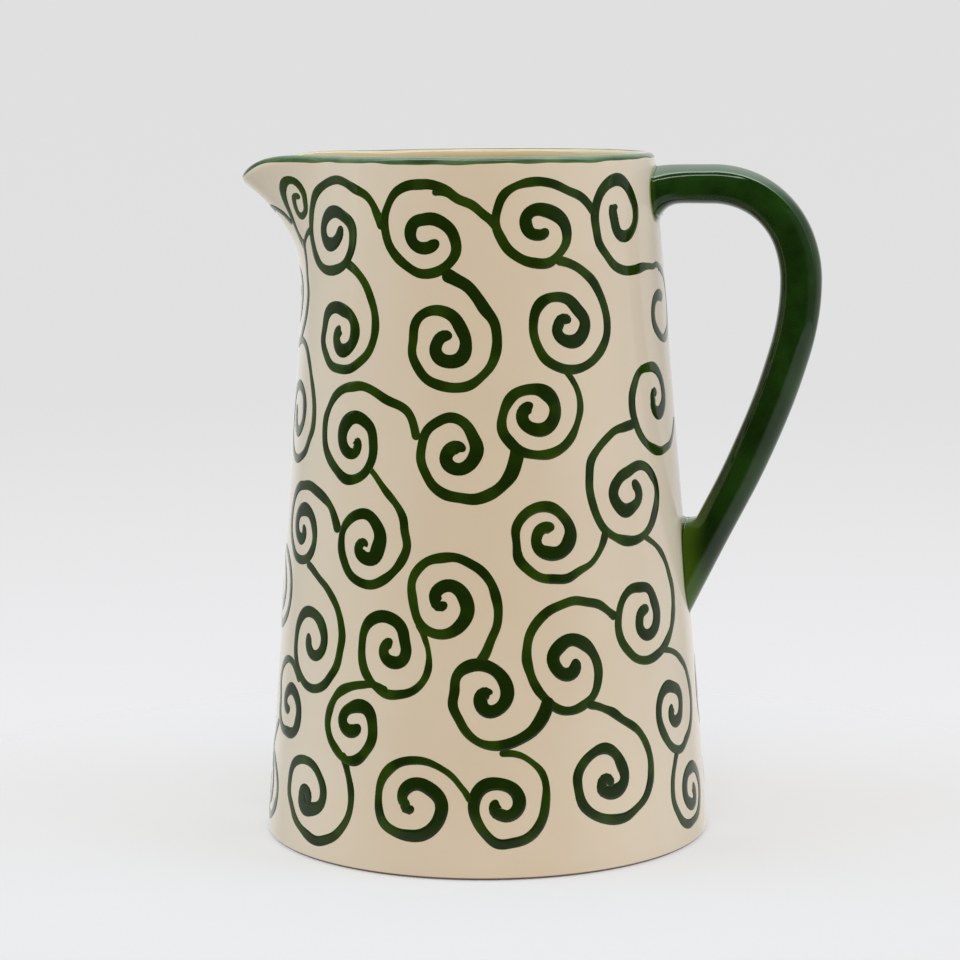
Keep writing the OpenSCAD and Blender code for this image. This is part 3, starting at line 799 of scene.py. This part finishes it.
def glaze(tree, group, shader, cloud_size, gloss=0.05, gloss_change=0.06, ripple=0.05):
    """Places the shared skin in a material, and gives its cloud."""
    inputs = {"Cloud Size": cloud_size, "Gloss": gloss, "Gloss Change": gloss_change}
    node = add(tree, "ShaderNodeGroup", inputs, node_tree=group)
    tree.links.new(node.outputs["Roughness"], shader.inputs["Roughness"])
    bump = add(tree, "ShaderNodeBump", {"Height": node.outputs["Ripple"], "Strength": ripple,
                                        "Distance": 0.0004})
    tree.links.new(bump.outputs["Normal"], shader.inputs["Normal"])
    return node.outputs["Cloud"]


def cream_glaze(group):
    """Cream glaze over pale clay: cloudy, with a few iron specks, darker and yellower inside as painted
    shade, and ending above a bare foot whose brown is darkened as painted contact shadow.
    """
    material, tree, shader = new_material("cream_glaze")
    cloud = glaze(tree, group, shader, cloud_size=26.0)
    cloudy = value_map(tree, cloud, *CLOUDS)
    # Inner surfaces take the darker, yellower cream: painted shade inside the hollow
    tone = mix(tree, attribute(tree, "inside"), between(tree, cloudy, CREAM_OUTSIDE),
               between(tree, cloudy, CREAM_INSIDE_SHADED))
    place = add(tree, "ShaderNodeTexCoord").outputs["Object"]
    cells = add(tree, "ShaderNodeTexVoronoi", {"Vector": place, "Scale": 70.0})
    chance = add(tree, "ShaderNodeSeparateColor", {"Color": cells.outputs["Color"]})
    few = value_map(tree, chance.outputs["Red"], *SPECK_CHANCE)
    dot = value_map(tree, cells.outputs["Distance"], *SPECK_SIZE)
    specked = mix(tree, calculate(tree, "MULTIPLY", few, dot), tone, linear(IRON_SPECK))
    grit = add(tree, "ShaderNodeTexNoise", {"Vector": place, "Scale": 420.0, "Detail": 4.0})
    # Bare clay tone, darkened as a painted contact shadow under the foot
    clay = between(tree, grit.outputs["Fac"], BARE_CLAY_AND_SHADOW)
    tree.links.new(mix(tree, attribute(tree, "bare"), specked, clay), shader.inputs["Base Color"])
    return material


def scroll_paint(group):
    """Paint of the scrolls: darker where it lies thick, leaf green where it is thin and at its edges."""
    material, tree, shader = new_material("scroll_paint")
    cloud = glaze(tree, group, shader, cloud_size=160.0)
    thick = between(tree, value_map(tree, attribute(tree, "paint"), *PAINT_LOAD), PAINT_THIN_AND_THICK)
    cloudy = mix(tree, value_map(tree, cloud, *PAINT_CLOUDS), thick, linear(PAINT_CLOUD))
    at_edge = value_map(tree, attribute(tree, "edge"), *STROKE_FADE)
    tree.links.new(mix(tree, at_edge, cloudy, linear(PAINT_EDGE)), shader.inputs["Base Color"])
    return material


def rim_paint(group):
    """Paint of the rim: thinner at its brushed edges."""
    material, tree, shader = new_material("rim_paint")
    cloud = glaze(tree, group, shader, cloud_size=60.0)
    tone = between(tree, value_map(tree, cloud, *CLOUDS), RIM_TONES)
    at_edge = value_map(tree, attribute(tree, "edge"), *RIM_FADE)
    tree.links.new(mix(tree, at_edge, tone, linear(RIM_EDGE)), shader.inputs["Base Color"])
    return material


def green_glaze(group):
    """Deep green glaze of the handle, yellower where it runs thin at the roots."""
    material, tree, shader = new_material("green_glaze")
    cloud = glaze(tree, group, shader, cloud_size=70.0, gloss=0.04, gloss_change=0.05, ripple=0.1)
    tone = between(tree, value_map(tree, cloud, *CLOUDS), HANDLE_TONES)
    at_root = value_map(tree, attribute(tree, "from_root"), *THIN_AT_ROOT)
    tree.links.new(mix(tree, at_root, tone, linear(THIN_GREEN)), shader.inputs["Base Color"])
    return material


def root_glaze(group):
    """Glaze in the fillets of the roots: cream on the wall, yellow green, then deep green."""
    material, tree, shader = new_material("root_glaze")
    glaze(tree, group, shader, cloud_size=70.0, gloss=0.04, gloss_change=0.05)
    depth = attribute(tree, "glaze_depth")
    thin = between(tree, value_map(tree, depth, *FILLET_THIN), ROOT_ON_WALL)
    deep = value_map(tree, depth, *FILLET_DEEP)
    tree.links.new(mix(tree, deep, thin, linear(ROOT_ON_HANDLE)), shader.inputs["Base Color"])
    return material


# Studio: lengths in metres

CAMERA_PLACE = Vector((0.1380, -0.9236, 0.2448))
CAMERA_FORWARD = Vector((-0.14817, 0.97919, -0.13870)).normalized()
CAMERA_ROLL = -0.0068358
CAMERA_LENS = 108.58


def camera():
    """A long lens a little above the rim, turned as the photograph was taken."""
    level = CAMERA_FORWARD.cross(Vector((0, 0, 1))).normalized()
    over = level.cross(CAMERA_FORWARD)
    right = math.cos(CAMERA_ROLL) * level + math.sin(CAMERA_ROLL) * over
    up = math.cos(CAMERA_ROLL) * over - math.sin(CAMERA_ROLL) * level
    data = bpy.data.cameras.new("camera")
    data.lens = CAMERA_LENS
    data.sensor_fit = "HORIZONTAL"
    data.sensor_width = 36.0
    data.clip_start = 0.01
    item = put_object("camera", data)
    turn = Matrix((right, up, -CAMERA_FORWARD)).transposed()
    item.matrix_world = Matrix.Translation(CAMERA_PLACE) @ turn.to_4x4()
    bpy.context.scene.camera = item


def lamp(name, place, size, watts, tint):
    """A soft rectangular lamp that faces the jug and shows in neither the picture nor the gloss."""
    data = bpy.data.lights.new(name, "AREA")
    data.shape = "RECTANGLE"
    data.size, data.size_y = size
    data.energy = watts
    data.color = tint
    item = put_object(name, data)
    item.location = place
    item.rotation_euler = (Vector(LAMP_TARGET) - Vector(place)).to_track_quat("-Z", "Y").to_euler()
    item.visible_camera = False
    item.visible_glossy = False


# Pale floor: radii of its rings and drop below the foot in millimetres, the distances between which it
# fades, and how much of it shows in bounced light and in the picture
FLOOR_RINGS, FLOOR_DROP = (50.0, 400.0, 1000.0, 2000.0, 4000.0), 0.05
FLOOR_FADE = (0.11, 0.34)
FLOOR_IN_BOUNCES, FLOOR_IN_PICTURE = 0.4, 0.5


def floor():
    """A wide pale floor, a disc that thins out into the background away from the jug."""
    around = np.arange(0.0, 360.0, FLOOR_STEP)
    ring = round_the_jug(around, np.array(FLOOR_RINGS)[:, None], -FLOOR_DROP)
    rows, columns = ring.shape[:2]
    mesh = bpy.data.meshes.new("floor")
    faces = quads(rows, columns, close_columns=True).tolist() + [list(range(columns))]
    mesh.from_pydata(ring.reshape(-1, 3) * MM, [], faces)
    item = put_object("floor", mesh)
    material, tree, shader = new_material("pale_floor")
    shader.inputs["Base Color"].default_value = linear(FLOOR_TONE)
    shader.inputs["Roughness"].default_value = 0.8
    shader.inputs["Specular IOR Level"].default_value = 0.0
    place = add(tree, "ShaderNodeTexCoord").outputs["Object"]
    distance = add(tree, "ShaderNodeVectorMath", {0: place}, operation="LENGTH").outputs["Value"]
    near = value_map(tree, distance, *FLOOR_FADE, 1.0, 0.0)
    straight = add(tree, "ShaderNodeLightPath").outputs["Is Camera Ray"]
    kept = value_map(tree, straight, 0.0, 1.0, FLOOR_IN_BOUNCES, FLOOR_IN_PICTURE)
    tree.links.new(calculate(tree, "MULTIPLY", near, kept), shader.inputs["Alpha"])
    mesh.materials.append(material)


# White panels round the jug that its gloss shows: azimuths from the camera's side, turning to its right,
# then sines of the elevation, and brightness
PANELS = (
    (-200.0, -98.0, -2.0, 0.6, 0.32),
    (95.0, 200.0, -2.0, 0.6, 0.46),
    (45.0, 200.0, -2.0, 0.6, 0.21),
    (45.0, 200.0, -2.0, -0.06, 0.24),
    (20.0, 200.0, -2.0, -0.25, 0.6),
    (-200.0, -140.0, -2.0, 0.6, 0.9),
    (140.0, 200.0, -2.0, 0.6, 0.9),
    (-75.0, 60.0, 0.955, 0.966, 15.0),
)

# Ceiling: brightness at angles from straight up, towards the camera first
CEILING = ((-4.0, 0.0), (-6.0, 8.0), (-10.0, 8.0), (-14.0, 3.6), (-22.0, 3.2), (-52.0, 1.7),
           (-72.0, 0.8), (-90.0, 0.3))
CEILING_TINT = (0.83, 1.0, 0.88)
CEILING_FULL = 8.0
CEILING_ASIDE, CEILING_LEAST = (0.3, 0.85), 0.16

# Background for the camera, from the front of the floor to above the jug
BACKGROUND = ((0.0, (232, 232, 233)), (0.11, (233, 233, 234)), (0.28, (238, 238, 240)),
              (0.53, (231, 231, 232)), (0.70, (225, 225, 226)), (1.0, (224, 224, 225)))
BACKGROUND_RISE = (-0.34, 0.02)
DIM_ROOM = 0.03
EVEN_LIGHT = (0.45, 0.435, 0.40, 1.0)
PANEL_EDGE, PANEL_RISE_EDGE = 16.0, 0.015

# Lamps: place, size, watts and tint
LAMP_TARGET = (0, 0, 0.1)
LAMPS = (
    ("left_panel", (-1.5, -0.5, 0.45), (1.6, 1.6), 15.0, (0.62, 1.0, 1.45)),
    ("right_panel", (1.6, -0.2, 0.45), (1.2, 1.4), 13.5, (0.68, 1.0, 1.42)),
    ("front_panel", (0.3, -1.9, 1.2), (1.6, 1.2), 12.5, (1.0, 0.95, 0.84)),
    ("top_panel", (0.0, 0.1, 1.7), (1.6, 1.4), 7.0, (1.0, 1.0, 1.0)),
)


def put_ramp(ramp, stops):
    """Sets a colour ramp to stops (place, colour) in rising order."""
    while len(ramp.elements) < len(stops):
        ramp.elements.new(0.5)
    for element, (place, colour) in zip(ramp.elements, stops):
        element.position = place
        element.color = colour


def band(tree, value, low, high, edge):
    """1 where a value lies between two limits, falling to 0 past them over a soft edge."""
    up = value_map(tree, value, low - edge, low + edge)
    down = value_map(tree, value, high - edge, high + edge, 1.0, 0.0)
    return calculate(tree, "MULTIPLY", up, down)


def studio():
    """World: a pale background for the camera, an even light for matt surfaces, and for gloss the white
    panels of a light tent with a dim room on the camera's side."""
    scene = bpy.context.scene
    scene.view_settings.view_transform = "Standard"
    world = bpy.data.worlds.new("studio")
    scene.world = world
    world.use_nodes = True
    tree = world.node_tree
    path = add(tree, "ShaderNodeLightPath")
    way = add(tree, "ShaderNodeTexCoord").outputs["Generated"]
    front = Vector((-CAMERA_FORWARD.x, -CAMERA_FORWARD.y, 0)).normalized()
    right = Vector((-front.y, front.x, 0))
    towards = [add(tree, "ShaderNodeVectorMath", {0: way, 1: axis},
                   operation="DOT_PRODUCT").outputs["Value"] for axis in (right, front)]
    azimuth = calculate(tree, "DEGREES", calculate(tree, "ARCTAN2", *towards))
    rise = add(tree, "ShaderNodeSeparateXYZ", {"Vector": way}).outputs["Z"]
    seen = DIM_ROOM
    for left, to, low, high, brightness in PANELS:
        inside = calculate(tree, "MULTIPLY", band(tree, azimuth, left, to, PANEL_EDGE),
                           band(tree, rise, low, high, PANEL_RISE_EDGE))
        seen = calculate(tree, "MAXIMUM", calculate(tree, "MULTIPLY", inside, brightness), seen)
    lean = calculate(tree, "DEGREES", calculate(tree, "ARCTAN2", towards[1], rise))
    share = add(tree, "ShaderNodeMapRange", {"Value": lean, "From Min": 90.0, "From Max": -90.0})
    ceiling = add(tree, "ShaderNodeValToRGB", {"Fac": share.outputs["Result"]})
    tones = [(0.5 - angle / 180.0, [part * bright / CEILING_FULL for part in CEILING_TINT] + [1.0])
             for angle, bright in CEILING]
    put_ramp(ceiling.color_ramp, tones)
    aside = calculate(tree, "ABSOLUTE", towards[0])
    within = value_map(tree, aside, *CEILING_ASIDE, CEILING_FULL, CEILING_LEAST * CEILING_FULL)
    overhead = add(tree, "ShaderNodeVectorMath", {0: ceiling.outputs["Color"], 1: within},
                   operation="MULTIPLY")
    room = add(tree, "ShaderNodeVectorMath", {0: overhead.outputs["Vector"], 1: seen}, operation="MAXIMUM")
    gloss = mix(tree, path.outputs["Is Glossy Ray"], EVEN_LIGHT, room.outputs["Vector"])
    ramp = add(tree, "ShaderNodeValToRGB", {"Fac": value_map(tree, rise, *BACKGROUND_RISE)})
    put_ramp(ramp.color_ramp, [(at, linear(tone)) for at, tone in BACKGROUND])
    colour = mix(tree, path.outputs["Is Camera Ray"], gloss, ramp.outputs["Color"])
    tree.links.new(colour, tree.nodes["Background"].inputs["Color"])
    for settings in LAMPS:
        lamp(*settings)


camera()
studio()
floor()
skin = glaze_group()
clay_body(cream_glaze(skin))
rim_band(rim_paint(skin))
painted_scrolls(scroll_paint(skin))
handle_piece(green_glaze(skin))
gathered = root_glaze(skin)
root_fillet("upper_root_glaze", "upper_slip_joint", False, gathered)
root_fillet("lower_root_glaze", "lower_slip_joint", True, gathered)

bpy.context.view_layer.update()
